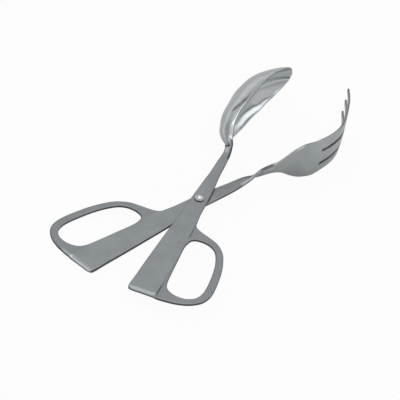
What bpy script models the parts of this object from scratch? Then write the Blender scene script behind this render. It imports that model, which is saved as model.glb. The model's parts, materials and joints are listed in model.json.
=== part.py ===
"""Scissor serving tongs: a spoon arm and a fork arm crossed on one domed rivet.

Metres, +Z up. Each arm is drawn in a frame of its own: the pivot at the origin, +Y along the
blade to the head, +X towards the finger loop and the hollow of the head, +Z away from the other
arm. The fork arm is the same stamping turned over about +Y. The closed assembly is then laid on
the table as the real one lies: on its heels and on the lower rim of a head.
"""

import math
from collections import namedtuple

import bmesh
import bpy
from mathutils import Matrix, Vector

# Opening
ARM_ANGLE = math.radians(13.5)        # each blade's lean from the middle line, as they lie open

# Lengths of one arm, from the pivot
HANDLE_LENGTH = 0.1061                # to the heel
LOOP_REACH = 0.0395                   # from the blade's axis to the loop's outer edge
SPOON_REACH = 0.1588                  # to the spoon's tip, along the blade's axis
FORK_REACH = 0.1572                   # to the tines' tips, along the blade's axis

# Thickness of the stamping
PLATE_THICKNESS = 0.0028
BLADE_THICKNESS = 0.0020
LOOP_THICKNESS = 0.0020
HEAD_THICKNESS = 0.0015
LOOP_RECESS = 0.0001                  # the loop's inner face behind the plate's inner face

# Widths of the strip
HEEL_WIDTH = 0.0190
PIVOT_WIDTH = 0.0110

# Heads
SPOON_WIDTH = 0.0276
SPOON_DEPTH = 0.0146
SPOON_SWAY = 0.0127                   # the tip's offset towards the fork
FORK_WIDTH = 0.0300
FORK_DEPTH = 0.0014
FORK_SWAY = 0.0218                    # the tines' offset towards the spoon
SLOT_WIDTH = 0.0015
TINE_TIP_WIDTH = 0.0024
MIDDLE_TINE_SHARE = 0.31              # of the tines' width, at the slots' roots

# Rivet and washer
RIVET_HEAD_RADIUS = 0.0032
RIVET_HEAD_HEIGHT = 0.0016
RIVET_TAIL_RADIUS = 0.0031
RIVET_TAIL_HEIGHT = 0.0009
SHANK_RADIUS = 0.0022
WASHER_RADIUS = 0.0043
WASHER_THICKNESS = 0.0006

# Clearances
SEAT_GAP = 0.0003                     # between pieces that lie on each other
RUNNING_GAP = 0.0003                  # round the shank, in each hole
CUT_OVERRUN = 0.0040                  # a cutter past what it cuts

# Rounding of the edges
PLATE_EDGE_RADIUS = 0.0009
HEAD_EDGE_SHARE = 0.46                # of the local thickness
ROUND_LIMIT_SHARE = 0.92              # of a section's half width or half thickness, at most

THINNING_SHARES = (0.25, 0.50)        # of a head's reach: from the blade's thickness to the head's
WELD_SHARE = 0.001                    # of SEAT_GAP: points closer than this are one

# Angles
HEAD_TURN = math.radians(86.4)        # of each head about its own run, from the blade's face
BOWL_ARC = math.radians(66)           # half the arc of an ellipse that a bowl's section follows
SHARP_ANGLE = math.radians(40)        # between faces that are shaded apart
TILT_LIMIT = math.radians(25)         # of the blades' plane, as the tongs lie on a table

# Fineness
FACE_STEPS = 8
EDGE_STEPS = 2
ROW_STEPS = 3
LOOP_STEPS = 3
LOOP_FACE_STEPS = 2
TURNED_STEPS = 36
DOME_STEPS = 6

STEEL_COLOUR = (0.47, 0.49, 0.50, 1.0)
RIVET_COLOUR = (0.60, 0.61, 0.61, 1.0)
WASHER_COLOUR = (0.42, 0.43, 0.44, 1.0)

INNER_FACE = SEAT_GAP / 2
BLADE_MIDDLE = INNER_FACE + BLADE_THICKNESS / 2

# Plate from the heel to the pivot: along, as shares of HANDLE_LENGTH; left and right edge, as
# shares of HEEL_WIDTH
PLATE_SHARES = (
    (-1.000, -0.450, 0.385),
    (-0.997, -0.500, 0.400),
    (-0.991, -0.540, 0.410),
    (-0.980, -0.572, 0.412),
    (-0.950, -0.590, 0.412),
    (-0.880, -0.562, 0.412),
    (-0.700, -0.510, 0.405),
    (-0.405, -0.410, 0.392),
    (-0.245, -0.352, 0.375),
    (-0.135, -0.308, 0.322),
)

# Blade and neck of the spoon arm: along as shares of SPOON_REACH; middle as shares of SPOON_SWAY;
# width as shares of PIVOT_WIDTH; turn as shares of HEAD_TURN; depth as shares of SPOON_DEPTH
SPOON_BLADE_SHARES = (
    (0.000, 0.022, 1.000, 0.00, 0.00),
    (0.100, 0.039, 0.840, 0.00, 0.00),
    (0.200, 0.038, 0.630, 0.00, 0.00),
    (0.280, 0.042, 0.560, 0.00, 0.00),
    (0.325, 0.045, 0.490, 0.00, 0.00),
    (0.355, 0.015, 0.460, 0.02, 0.00),
    (0.380, -0.030, 0.450, 0.12, 0.02),
    (0.398, -0.065, 0.460, 0.36, 0.12),
    (0.416, -0.090, 0.490, 0.74, 0.28),
)
# Spoon: along as before; the rim's middle as shares of SPOON_SWAY; the rim's width as shares of
# SPOON_WIDTH; the bowl's depth as shares of SPOON_DEPTH
SPOON_SHARES = (
    (0.434, -0.105, 0.290, 0.41),
    (0.452, -0.140, 0.370, 0.47),
    (0.470, -0.205, 0.450, 0.52),
    (0.501, -0.310, 0.600, 0.58),
    (0.543, -0.310, 0.770, 0.715),
    (0.585, -0.265, 0.860, 0.82),
    (0.647, -0.155, 0.940, 0.92),
    (0.723, -0.050, 0.975, 1.00),
    (0.793, 0.110, 1.000, 1.00),
    (0.841, 0.235, 0.930, 0.93),
    (0.885, 0.395, 0.855, 0.76),
    (0.942, 0.615, 0.665, 0.51),
    (0.974, 0.755, 0.500, 0.28),
    (0.990, 0.845, 0.345, 0.15),
    (0.998, 0.878, 0.200, 0.07),
    (1.000, 0.885, 0.090, 0.02),
)

# Blade and neck of the fork arm, as for the spoon arm
FORK_BLADE_SHARES = (
    (0.000, 0.013, 1.000, 0.00, 0.00),
    (0.100, -0.018, 0.890, 0.00, 0.00),
    (0.190, -0.043, 0.750, 0.02, 0.00),
    (0.265, -0.035, 0.610, 0.12, 0.00),
    (0.300, -0.037, 0.520, 0.38, 0.00),
    (0.325, -0.039, 0.480, 0.72, 0.00),
    (0.360, -0.046, 0.560, 1.00, 0.00),
    (0.400, -0.077, 0.660, 1.00, 0.00),
)
# Fork, as the spoon
FORK_SHARES = (
    (0.440, -0.138, 0.300, 0.10),
    (0.475, -0.183, 0.466, 0.34),
    (0.515, -0.250, 0.755, 0.72),
    (0.560, -0.350, 0.950, 0.96),
    (0.620, -0.463, 1.000, 1.00),
    (0.690, -0.445, 0.950, 0.85),
    (0.750, -0.369, 0.937, 0.65),
    (0.800, -0.225, 0.917, 0.50),
    (0.845, -0.007, 0.880, 0.40),
    (0.890, 0.229, 0.847, 0.32),
    (0.945, 0.555, 0.790, 0.24),
    (0.985, 0.845, 0.733, 0.18),
    (1.000, 0.980, 0.705, 0.15),
)
# Slot between two tines: along as shares of FORK_REACH, and how far the slot has opened from
# SLOT_WIDTH towards its width at the tips
SLOT_SHARES = (
    (0.642, 0.00),
    (0.720, 0.02),
    (0.800, 0.08),
    (0.880, 0.28),
    (0.940, 0.58),
    (1.000, 1.00),
)

# Finger loop: outer edge and hole, each as shares of LOOP_REACH and HANDLE_LENGTH
LOOP_SHARES = (
    ((0.125, -0.245), (0.232, -0.410)),
    ((0.236, -0.273), (0.268, -0.390)),
    ((0.336, -0.296), (0.332, -0.379)),
    ((0.497, -0.323), (0.448, -0.379)),
    ((0.662, -0.358), (0.571, -0.395)),
    ((0.805, -0.422), (0.682, -0.436)),
    ((0.888, -0.502), (0.761, -0.510)),
    ((0.944, -0.589), (0.812, -0.596)),
    ((0.977, -0.682), (0.839, -0.687)),
    ((0.995, -0.776), (0.852, -0.776)),
    ((0.982, -0.850), (0.838, -0.840)),
    ((0.910, -0.916), (0.777, -0.896)),
    ((0.746, -0.968), (0.655, -0.926)),
    ((0.544, -0.995), (0.507, -0.930)),
    ((0.348, -1.003), (0.385, -0.915)),
    ((0.177, -1.002), (0.291, -0.884)),
    ((0.076, -0.943), (0.248, -0.832)),
    ((0.076, -0.802), (0.230, -0.739)),
    ((0.076, -0.613), (0.214, -0.608)),
    ((0.076, -0.425), (0.199, -0.476)),
)

Station = namedtuple("Station", "along middle height width thickness turn depth radius")


def clear_scene():
    for old in list(bpy.data.objects):
        bpy.data.objects.remove(old, do_unlink=True)


def steel(name, colour, roughness):
    material = bpy.data.materials.new(name)
    material.use_nodes = True
    shader = material.node_tree.nodes["Principled BSDF"]
    shader.inputs["Base Color"].default_value = colour
    shader.inputs["Roughness"].default_value = roughness
    shader.inputs["Metallic"].default_value = 1.0
    return material


def smooth_rows(rows, steps):
    """Rows of numbers, joined by a curve that never overshoots a row, read in even steps."""
    spans = [rows[i + 1][0] - rows[i][0] for i in range(len(rows) - 1)]
    slopes = []
    for column in range(len(rows[0])):
        rises = [(rows[i + 1][column] - rows[i][column]) / spans[i] for i in range(len(spans))]
        column_slopes = [rises[0]]
        for before, after in zip(rises, rises[1:]):
            flat = before * after <= 0
            column_slopes.append(0 if flat else 2 * before * after / (before + after))
        column_slopes.append(rises[-1])
        slopes.append(column_slopes)
    out = []
    for i, span in enumerate(spans):
        last = i == len(spans) - 1
        for k in range(steps + 1 if last else steps):
            t = k / steps
            start, rise = 2 * t**3 - 3 * t**2 + 1, t**3 - 2 * t**2 + t
            end, fall = 3 * t**2 - 2 * t**3, t**3 - t**2
            out.append([
                start * rows[i][c] + rise * span * slopes[c][i]
                + end * rows[i + 1][c] + fall * span * slopes[c][i + 1]
                for c in range(len(rows[0]))
            ])
    return out


def strip_section(width, thickness, depth, radius, face_steps):
    """Closed outline (across, out) of a strip with round edges: flat, or bowed out by depth."""
    half = thickness / 2
    radius = min(radius, width / 2 * ROUND_LIMIT_SHARE, half * ROUND_LIMIT_SHARE)
    reach = width / 2 - radius
    sine, crown = math.sin(BOWL_ARC), 1 - math.cos(BOWL_ARC)
    middle = []
    for k in range(face_steps + 1):
        swing = BOWL_ARC * (1 - 2 * k / face_steps)
        spot = Vector((reach * math.sin(swing) / sine,
                       depth * (math.cos(swing) - math.cos(BOWL_ARC)) / crown))
        run = Vector((reach * math.cos(swing) / sine,
                      -depth * math.sin(swing) / crown)).normalized()
        middle.append((spot, run, Vector((-run.y, run.x))))
    points = [spot + out * half for spot, run, out in middle]
    points += edge_arc(middle[-1], -1, half - radius, radius)
    points += [spot - out * half for spot, run, out in reversed(middle)]
    points += reversed(edge_arc(middle[0], 1, half - radius, radius))
    return points


def edge_arc(end, side, wall, radius):
    """The round edge of a strip from its outer face to its inner face, without the end points."""
    spot, run, out = end
    turns = [math.pi / 2 * k / EDGE_STEPS for k in range(1, EDGE_STEPS + 1)]
    points = [spot + out * (wall + radius * math.cos(turn)) + run * (side * radius * math.sin(turn))
              for turn in turns]
    points += [spot - out * (wall + radius * math.cos(turn)) + run * (side * radius * math.sin(turn))
               for turn in reversed(turns)]
    return points


def cap(mesh, loop, face_steps):
    """Close a ring of a rounded section with a row of quads and two round ends."""
    side = (len(loop) - 2 * (face_steps + 1)) // 2
    low = face_steps + side
    for k in range(face_steps):
        far = low + face_steps - k
        mesh.faces.new((loop[k], loop[k + 1], loop[far], loop[far + 1]))
    mesh.faces.new(loop[face_steps:low + 2])
    mesh.faces.new(loop[low + 1 + face_steps:] + loop[:1])


def loft(rings, closed=False, face_steps=0):
    """One closed mesh over rings of points: capped at both ends, or joined end to end."""
    mesh = bmesh.new()
    loops = [[mesh.verts.new(point) for point in ring] for ring in rings]
    pairs = list(zip(loops, loops[1:]))
    if closed:
        pairs.append((loops[-1], loops[0]))
    for first, second in pairs:
        for k in range(len(first)):
            nxt = (k + 1) % len(first)
            mesh.faces.new((first[k], first[nxt], second[nxt], second[k]))
    for end in () if closed else (loops[0], loops[-1]):
        if face_steps:
            cap(mesh, end, face_steps)
        else:
            mesh.faces.new(end)
    bmesh.ops.triangulate(mesh, faces=[f for f in mesh.faces if len(f.verts) > 3])
    bmesh.ops.recalc_face_normals(mesh, faces=mesh.faces)
    return mesh


def add_object(name, mesh, material):
    data = bpy.data.meshes.new(name)
    mesh.to_mesh(data)
    mesh.free()
    data.materials.append(material)
    data.shade_smooth()
    data.set_sharp_from_angle(angle=SHARP_ANGLE)
    made = bpy.data.objects.new(name, data)
    bpy.context.scene.collection.objects.link(made)
    return made


def frames(stations):
    """Each station's middle, its direction across the strip and its direction out of it. The
    handle's stations stand square to +Y, the head's to its own curve."""
    out = []
    for i, here in enumerate(stations):
        before = stations[max(i - 1, 0)]
        after = stations[min(i + 1, len(stations) - 1)]
        run = Vector((after.middle - before.middle, after.along - before.along, 0)).normalized()
        if here.along <= 0:
            run = Vector((0, 1, 0))
        side = Vector((run.y, -run.x, 0))
        up = Vector((0, 0, 1))
        out.append((Vector((here.middle, here.along, here.height)),
                    side * math.cos(here.turn) + up * math.sin(here.turn),
                    up * math.cos(here.turn) - side * math.sin(here.turn)))
    return out


def strip_rings(stations):
    rings = []
    for here, (middle, across, out) in zip(stations, frames(stations)):
        section = strip_section(here.width, here.thickness, here.depth, here.radius, FACE_STEPS)
        rings.append([middle + across * v + out * w for v, w in section])
    return rings


def plate_station(along, left, right):
    """The handle's plate, flush with the blade's inner face, thicker towards the heel and
    rounded off at its end."""
    thickness = BLADE_THICKNESS + (PLATE_THICKNESS - BLADE_THICKNESS) * -along
    short = max(PLATE_EDGE_RADIUS - (1 + along) * HANDLE_LENGTH, 0)
    rounded = PLATE_EDGE_RADIUS - math.sqrt(PLATE_EDGE_RADIUS**2 - short**2)
    return Station(along * HANDLE_LENGTH, (left + right) / 2 * HEEL_WIDTH,
                   INNER_FACE + thickness / 2, (right - left) * HEEL_WIDTH,
                   thickness - 2 * rounded, 0, 0, PLATE_EDGE_RADIUS)


def head_stations(reach, sway, blade_shares, head_shares, width, depth):
    """The stations from the pivot to a head's tip, with the strip thinning into the head."""
    rows = [(along, middle, wide * PIVOT_WIDTH, turn, deep)
            for along, middle, wide, turn, deep in blade_shares]
    rows += [(along, middle, wide * width, 1, deep) for along, middle, wide, deep in head_shares]
    stations = []
    for along, middle, wide, turn, deep in smooth_rows(rows, ROW_STEPS):
        start, full = THINNING_SHARES
        thinned = min(max((along - start) / (full - start), 0), 1)
        thickness = BLADE_THICKNESS + (HEAD_THICKNESS - BLADE_THICKNESS) * thinned
        radius = PLATE_EDGE_RADIUS + (HEAD_EDGE_SHARE * thickness - PLATE_EDGE_RADIUS) * thinned
        stations.append(Station(along * reach, middle * sway, BLADE_MIDDLE, wide, thickness,
                                turn * HEAD_TURN, deep * depth, radius))
    return stations


def arm_strip(name, head, material):
    stations = [plate_station(*row) for row in smooth_rows(PLATE_SHARES, ROW_STEPS)] + head
    return add_object(name, loft(strip_rings(stations), face_steps=FACE_STEPS), material)


def closed_curve(points, steps):
    """A smooth closed curve through the points, read in even steps."""
    count = len(points)
    out = []
    for i in range(count):
        a, b, c, d = (points[(i + k - 1) % count] for k in range(4))
        for k in range(steps):
            t = k / steps
            out.append(0.5 * (2 * b + (c - a) * t + (2 * a - 5 * b + 4 * c - d) * t**2
                              + (3 * b - 3 * c + d - a) * t**3))
    return out


def finger_loop(name, material):
    pairs = [Vector((outer[0] * LOOP_REACH, outer[1] * HANDLE_LENGTH,
                     hole[0] * LOOP_REACH, hole[1] * HANDLE_LENGTH))
             for outer, hole in LOOP_SHARES]
    middle_height = INNER_FACE + LOOP_RECESS + LOOP_THICKNESS / 2
    rings = []
    for pair in closed_curve(pairs, LOOP_STEPS):
        outer = Vector((pair[0], pair[1], middle_height))
        hole = Vector((pair[2], pair[3], middle_height))
        across = outer - hole
        section = strip_section(across.length, LOOP_THICKNESS, 0, PLATE_EDGE_RADIUS,
                                LOOP_FACE_STEPS)
        across.normalize()
        rings.append([(outer + hole) / 2 + across * v + Vector((0, 0, w)) for v, w in section])
    return add_object(name, loft(rings, closed=True), material)


def station_at(stations, along):
    """The strip's station at a place between two of its own."""
    for low, high in zip(stations, stations[1:]):
        if along <= high.along:
            break
    share = (along - low.along) / (high.along - low.along)
    return Station(*(a + (b - a) * share for a, b in zip(low, high)))


def slot_cutter(name, side, fork, material):
    """The gap beside one outer tine, as a strip that follows the fork's own curve."""
    rows = smooth_rows(SLOT_SHARES, ROW_STEPS)
    stations = [station_at(fork, along * FORK_REACH) for along, opened in rows]
    tip_slot = (stations[-1].width - 3 * TINE_TIP_WIDTH) / 2
    reach = HEAD_THICKNESS + CUT_OVERRUN
    rings = []
    for (along, opened), here, (middle, across, out) in zip(rows, stations, frames(stations)):
        slot = SLOT_WIDTH + (tip_slot - SLOT_WIDTH) * opened
        share = MIDDLE_TINE_SHARE + (1 / 3 - MIDDLE_TINE_SHARE) * opened
        tine = (here.width - 2 * slot) * share
        offset = side * (tine + slot) / 2
        rings.append([middle + across * (offset + v * slot / 2) + out * (here.depth + w * reach)
                      for v, w in ((1, 1), (-1, 1), (-1, -1), (1, -1))])
    ahead = (rings[-1][0] - rings[-2][0]).normalized() * CUT_OVERRUN
    rings.append([point + ahead for point in rings[-1]])
    return add_object(name, loft(rings), material)


def cylinder_cutter(name, radius, low, high, material):
    mesh = bmesh.new()
    bmesh.ops.create_cone(mesh, cap_ends=True, segments=TURNED_STEPS, radius1=radius,
                          radius2=radius, depth=high - low,
                          matrix=Matrix.Translation((0, 0, (high + low) / 2)))
    return add_object(name, mesh, material)


def boolean(target, other, operation):
    modifier = target.modifiers.new(operation.title() + " " + other.name, "BOOLEAN")
    modifier.operation = operation
    modifier.solver = "EXACT"
    modifier.object = other
    other.hide_render = True
    other.display_type = "WIRE"


def turned(name, profile, material):
    """A turned piece: a closed profile of (radius, height) spun about +Z."""
    rings = []
    for k in range(TURNED_STEPS):
        angle = 2 * math.pi * k / TURNED_STEPS
        rings.append([(r * math.cos(angle), r * math.sin(angle), z) for r, z in profile])
    mesh = loft(rings, closed=True)
    weld = WELD_SHARE * SEAT_GAP
    bmesh.ops.remove_doubles(mesh, verts=mesh.verts, dist=weld)
    bmesh.ops.dissolve_degenerate(mesh, edges=mesh.edges, dist=weld)
    bare = [edge for edge in mesh.edges if not edge.link_faces]
    bmesh.ops.delete(mesh, geom=bare, context="EDGES")
    bmesh.ops.recalc_face_normals(mesh, faces=mesh.faces)
    return add_object(name, mesh, material)


def dome(radius, height, base, direction):
    """Points of a shallow dome from its rim to its crown, standing on base."""
    points = []
    for k in range(DOME_STEPS + 1):
        angle = math.pi / 2 * k / DOME_STEPS
        points.append((radius * math.cos(angle), base + direction * height * math.sin(angle)))
    points[-1] = (0, points[-1][1])
    return points


def pivot_rivet(material):
    head_seat = INNER_FACE + BLADE_THICKNESS + SEAT_GAP
    head = dome(RIVET_HEAD_RADIUS, RIVET_HEAD_HEIGHT, head_seat, 1)
    tail_seat = head_seat + WASHER_THICKNESS + SEAT_GAP
    tail = dome(RIVET_TAIL_RADIUS, RIVET_TAIL_HEIGHT, -tail_seat, -1)
    profile = head[::-1] + [(SHANK_RADIUS, head_seat), (SHANK_RADIUS, -tail_seat)] + tail
    return turned("pivot_rivet", profile, material)


def tail_washer(material):
    hole = SHANK_RADIUS + RUNNING_GAP
    top = -(INNER_FACE + BLADE_THICKNESS + SEAT_GAP)
    low = top - WASHER_THICKNESS
    profile = [(hole, top), (WASHER_RADIUS, top), (WASHER_RADIUS, low), (hole, low)]
    return turned("tail_washer", profile, material)


def arm(name, strip, material):
    boolean(strip, finger_loop(name + "_loop", material), "UNION")
    cutter = cylinder_cutter(name + "_pivot_hole", SHANK_RADIUS + RUNNING_GAP,
                             INNER_FACE - CUT_OVERRUN, INNER_FACE + BLADE_THICKNESS + CUT_OVERRUN,
                             material)
    boolean(strip, cutter, "DIFFERENCE")
    return strip


def place(piece, parent, matrix):
    """Put a piece and the cutters that shape it under a parent."""
    for thing in [piece] + [m.object for m in piece.modifiers]:
        thing.parent = parent
        thing.matrix_local = matrix


def empty(name, parent=None):
    made = bpy.data.objects.new(name, None)
    bpy.context.scene.collection.objects.link(made)
    made.parent = parent
    return made


def world_mesh(piece, graph):
    mesh = bmesh.new()
    mesh.from_mesh(piece.evaluated_get(graph).to_mesh())
    mesh.transform(piece.matrix_world)
    bmesh.ops.triangulate(mesh, faces=mesh.faces)
    return mesh


def lie_on_table(base, pieces):
    """Turn the whole part so that it rests on the hull face below its centre of mass, and put
    the middle of its footprint at the origin."""
    bpy.context.view_layer.update()
    graph = bpy.context.evaluated_depsgraph_get()
    hull = bmesh.new()
    volume, moment = 0, Vector()
    for piece in pieces:
        mesh = world_mesh(piece, graph)
        for face in mesh.faces:
            a, b, c = (v.co for v in face.verts)
            share = a.dot(b.cross(c)) / 6
            volume += share
            moment += share * (a + b + c) / 4
        for vert in mesh.verts:
            hull.verts.new(vert.co)
        mesh.free()
    mass_centre = moment / volume
    bmesh.ops.convex_hull(hull, input=hull.verts)
    hull.normal_update()
    down = Vector((0, 0, -1))
    turn = Matrix.Identity(4)
    for face in hull.faces:
        if face.normal.dot(down) < math.cos(TILT_LIMIT):
            continue
        foot = mass_centre + face.normal * face.normal.dot(face.verts[0].co - mass_centre)
        sides = [(second.co - first.co).cross(foot - first.co).dot(face.normal)
                 for first, second in zip(face.verts[:], face.verts[1:] + face.verts[:1])]
        if min(sides) >= 0:
            turn = face.normal.rotation_difference(down).to_matrix().to_4x4()
    corners = [turn @ vert.co for vert in hull.verts]
    hull.free()
    low = Vector(min(c[k] for c in corners) for k in range(3))
    high = Vector(max(c[k] for c in corners) for k in range(3))
    shift = Vector(((low.x + high.x) / 2, (low.y + high.y) / 2, low.z))
    base.matrix_world = Matrix.Translation(-shift) @ turn
    bpy.context.view_layer.update()


def build():
    clear_scene()
    brushed = steel("brushed_steel", STEEL_COLOUR, 0.34)
    bright = steel("rivet_steel", RIVET_COLOUR, 0.18)
    plain = steel("washer_steel", WASHER_COLOUR, 0.40)

    spoon_head = head_stations(SPOON_REACH, SPOON_SWAY, SPOON_BLADE_SHARES, SPOON_SHARES,
                               SPOON_WIDTH, SPOON_DEPTH)
    fork_head = head_stations(FORK_REACH, FORK_SWAY, FORK_BLADE_SHARES, FORK_SHARES, FORK_WIDTH,
                              FORK_DEPTH)
    spoon_arm = arm("spoon_arm", arm_strip("spoon_arm", spoon_head, brushed), brushed)
    fork_arm = arm("fork_arm", arm_strip("fork_arm", fork_head, brushed), brushed)
    for side, label in ((1, "upper"), (-1, "lower")):
        cutter = slot_cutter("fork_slot_" + label, side, fork_head, brushed)
        boolean(fork_arm, cutter, "DIFFERENCE")
    rivet = pivot_rivet(bright)
    washer = tail_washer(plain)

    table = empty("tongs")
    hinge = empty("hinge", table)
    lean = Matrix.Rotation(ARM_ANGLE, 4, "Z")
    place(spoon_arm, hinge, lean)
    place(fork_arm, table, Matrix.Rotation(math.pi, 4, "Y") @ lean)
    place(rivet, table, Matrix.Identity(4))
    place(washer, table, Matrix.Identity(4))
    lie_on_table(table, (spoon_arm, fork_arm, rivet, washer))


build()
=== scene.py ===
"""Scissor serving tongs in stainless steel, dressed for a product photograph.

Each arm is one stamped blank. Its outline is drawn flat, with x across and y along the blade from
the rivet, and then it is bent into space: the handle stays flat, the neck twists, and the head is
bowed. Both arms have the same handle, and the fork arm lies the other way up.
"""
import json
import math

import bmesh
import bpy
import numpy as np
from mathutils import Matrix, Vector
from mathutils.geometry import delaunay_2d_cdt

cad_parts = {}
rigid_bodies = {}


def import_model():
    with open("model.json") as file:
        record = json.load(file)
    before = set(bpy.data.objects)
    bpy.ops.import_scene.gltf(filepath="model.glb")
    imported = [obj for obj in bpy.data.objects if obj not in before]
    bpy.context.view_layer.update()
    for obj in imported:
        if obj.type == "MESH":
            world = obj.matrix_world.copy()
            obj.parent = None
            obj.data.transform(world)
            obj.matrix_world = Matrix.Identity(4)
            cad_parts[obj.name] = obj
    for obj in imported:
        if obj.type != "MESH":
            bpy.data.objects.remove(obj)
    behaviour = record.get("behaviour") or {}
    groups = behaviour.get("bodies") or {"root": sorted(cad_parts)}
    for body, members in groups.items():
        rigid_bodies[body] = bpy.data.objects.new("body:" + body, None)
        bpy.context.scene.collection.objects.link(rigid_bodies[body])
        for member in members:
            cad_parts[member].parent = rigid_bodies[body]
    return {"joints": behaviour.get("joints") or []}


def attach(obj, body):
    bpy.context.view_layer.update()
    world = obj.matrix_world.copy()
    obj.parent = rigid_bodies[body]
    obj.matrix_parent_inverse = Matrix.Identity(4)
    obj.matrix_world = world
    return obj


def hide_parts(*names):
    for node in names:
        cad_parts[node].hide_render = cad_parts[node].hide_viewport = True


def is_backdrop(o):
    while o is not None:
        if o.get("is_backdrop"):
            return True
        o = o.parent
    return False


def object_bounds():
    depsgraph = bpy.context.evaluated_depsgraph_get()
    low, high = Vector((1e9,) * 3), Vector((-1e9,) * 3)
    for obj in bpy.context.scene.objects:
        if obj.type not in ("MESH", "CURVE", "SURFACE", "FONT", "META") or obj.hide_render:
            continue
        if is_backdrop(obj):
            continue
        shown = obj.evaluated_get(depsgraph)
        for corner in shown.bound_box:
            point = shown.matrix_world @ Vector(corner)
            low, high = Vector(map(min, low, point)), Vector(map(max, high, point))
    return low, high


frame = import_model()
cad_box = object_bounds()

MM = 0.001

# Opening, and each arm's lengths from the rivet
ARM_ANGLE = math.radians(13.5)
HANDLE_LENGTH = 106.1 * MM
LOOP_REACH = 39.48 * MM
SPOON_REACH = 158.8 * MM
FORK_REACH = 157.2 * MM

# Thickness of the stamping
PLATE_THICKNESS = 2.8 * MM
BLADE_THICKNESS = 2.0 * MM
LOOP_THICKNESS = 2.0 * MM
HEAD_THICKNESS = 1.4 * MM
THINNING_SHARES = (0.25, 0.50)        # of an arm's reach, from the blade's thickness to the head's
INNER_FACE = 0.15 * MM                # from the plane between the arms

# Rounded edges, the step from the plate down to the finger loop, and the bevel along the heel
EDGE_RADIUS = 0.85 * MM
EDGE_SHARE = 0.46                     # of the thickness, the most that the radius takes
CREASE_WIDTH = 0.7 * MM
CREASE_START_SHARE = 0.20             # of HANDLE_LENGTH, where the step sets in
CREASE_FADE_SHARE = 0.10
HEEL_BEVEL = 2.0 * MM
HEEL_BEVEL_DEPTH = 0.6 * MM
BEVEL_END = 3.0 * MM                  # the bevel fades within this at the crease

# Widths, heads
HEEL_WIDTH = 19.0 * MM
PIVOT_WIDTH = 11.0 * MM
SPOON_WIDTH = 27.6 * MM
SPOON_DEPTH = 14.6 * MM
SPOON_SWAY = 12.7 * MM
FORK_WIDTH = 29.9 * MM
FORK_DEPTH = 1.4 * MM
FORK_SWAY = 21.8 * MM
SLOT_WIDTH = 0.9 * MM
TINE_TIP_WIDTH = 2.4 * MM
MIDDLE_TINE_SHARE = 0.31              # of the tines' width, at the slots' roots
HEAD_TURN = math.radians(86.4)
BOWL_ARC = math.radians(66)
BOWED_SHARE = 0.1                     # of SPOON_DEPTH: a deeper section is fully bowed
SWING_LIMIT = 1.15                    # half widths, so that slopes can be read past an edge
SQUARE_REACH = 20.0 * MM              # sections turn square to the blade's curve within this

# Rivet and washer
RIVET_HEAD_RADIUS = 3.2 * MM
RIVET_HEAD_HEIGHT = 2.3 * MM
RIVET_TAIL_RADIUS = 3.1 * MM
RIVET_TAIL_HEIGHT = 0.9 * MM
SHANK_RADIUS = 2.2 * MM
HOLE_RADIUS = 2.5 * MM
WASHER_RADIUS = 4.3 * MM
WASHER_THICKNESS = 0.6 * MM
WASHER_CORNER = 0.15 * MM
SEAT = 0.05 * MM
FOOT_SHARES = (0.42, 0.12)            # of the rivet's head height, where painted shade darkens its foot
SHARP_ANGLE = math.radians(40)

# Spacing of the mesh
FINE = 0.55 * MM
COARSE = 5.0 * MM
RIM_SPACING = 0.75 * MM
RIM_STEPS = 4                         # facets of each of an edge's two quarter rounds
CURVE_STEPS = 12                      # between two points of an outline
HOLE_POINTS = 40
TINE_POINTS = 8                       # round a tine's tip or a slot's root
SPOON_TIP_SHARE = 0.1                 # of the reach, drawn with points that close up to the tip
SPOON_TIP_POINTS = 120
NEAREST_SHARE = 0.55                  # of the spacing, that a loose point keeps from an edge
LEAST_STRETCH = 0.2                   # bent length per length of the blank, for an edge's inset
SMOOTHING = 1.6 * MM
TABLE_STEP = 0.2 * MM
NUDGE = 0.004 * MM
DOME_SEGMENTS = 72
DOME_RINGS = 36
SHANK_SEGMENTS = 48
WASHER_SEGMENTS = 72
CORNER_POINTS = 3

# Left and right edge of the plate, as shares of HEEL_WIDTH, along HANDLE_LENGTH
PLATE_SHARES = (
    (-1.000, -0.430, 0.400),
    (-0.950, -0.590, 0.412),
    (-0.880, -0.562, 0.412),
    (-0.700, -0.510, 0.405),
    (-0.405, -0.410, 0.392),
    (-0.245, -0.352, 0.375),
    (-0.135, -0.308, 0.322),
    (0.000, -0.275, 0.305),
)
# Shares of HANDLE_LENGTH where the loop leaves the blade's right edge and the heel's corner starts
LOOP_START_SHARE = 0.24
CORNER_START_SHARE = 0.955
# The heel's corner, as shares of HEEL_WIDTH and HANDLE_LENGTH
HEEL_SHARES = ((-0.588, -0.974), (-0.565, -0.987), (-0.520, -0.9953), (-0.440, -1.0001),
               (-0.300, -1.002), (-0.100, -1.002), (0.200, -1.004))

# Along as shares of the arm's reach; middle as shares of its sway; width as shares of
# PIVOT_WIDTH; turn as shares of HEAD_TURN; depth as shares of its head's depth
SPOON_BLADE_SHARES = (
    (0.000, 0.022, 1.000, 0.00, 0.00),
    (0.100, 0.039, 0.840, 0.00, 0.00),
    (0.200, 0.038, 0.630, 0.00, 0.00),
    (0.280, 0.042, 0.560, 0.00, 0.00),
    (0.325, 0.045, 0.490, 0.00, 0.00),
    (0.355, 0.015, 0.460, 0.02, 0.00),
    (0.380, -0.030, 0.450, 0.12, 0.02),
    (0.398, -0.065, 0.460, 0.36, 0.12),
    (0.416, -0.090, 0.490, 0.74, 0.28),
)
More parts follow.
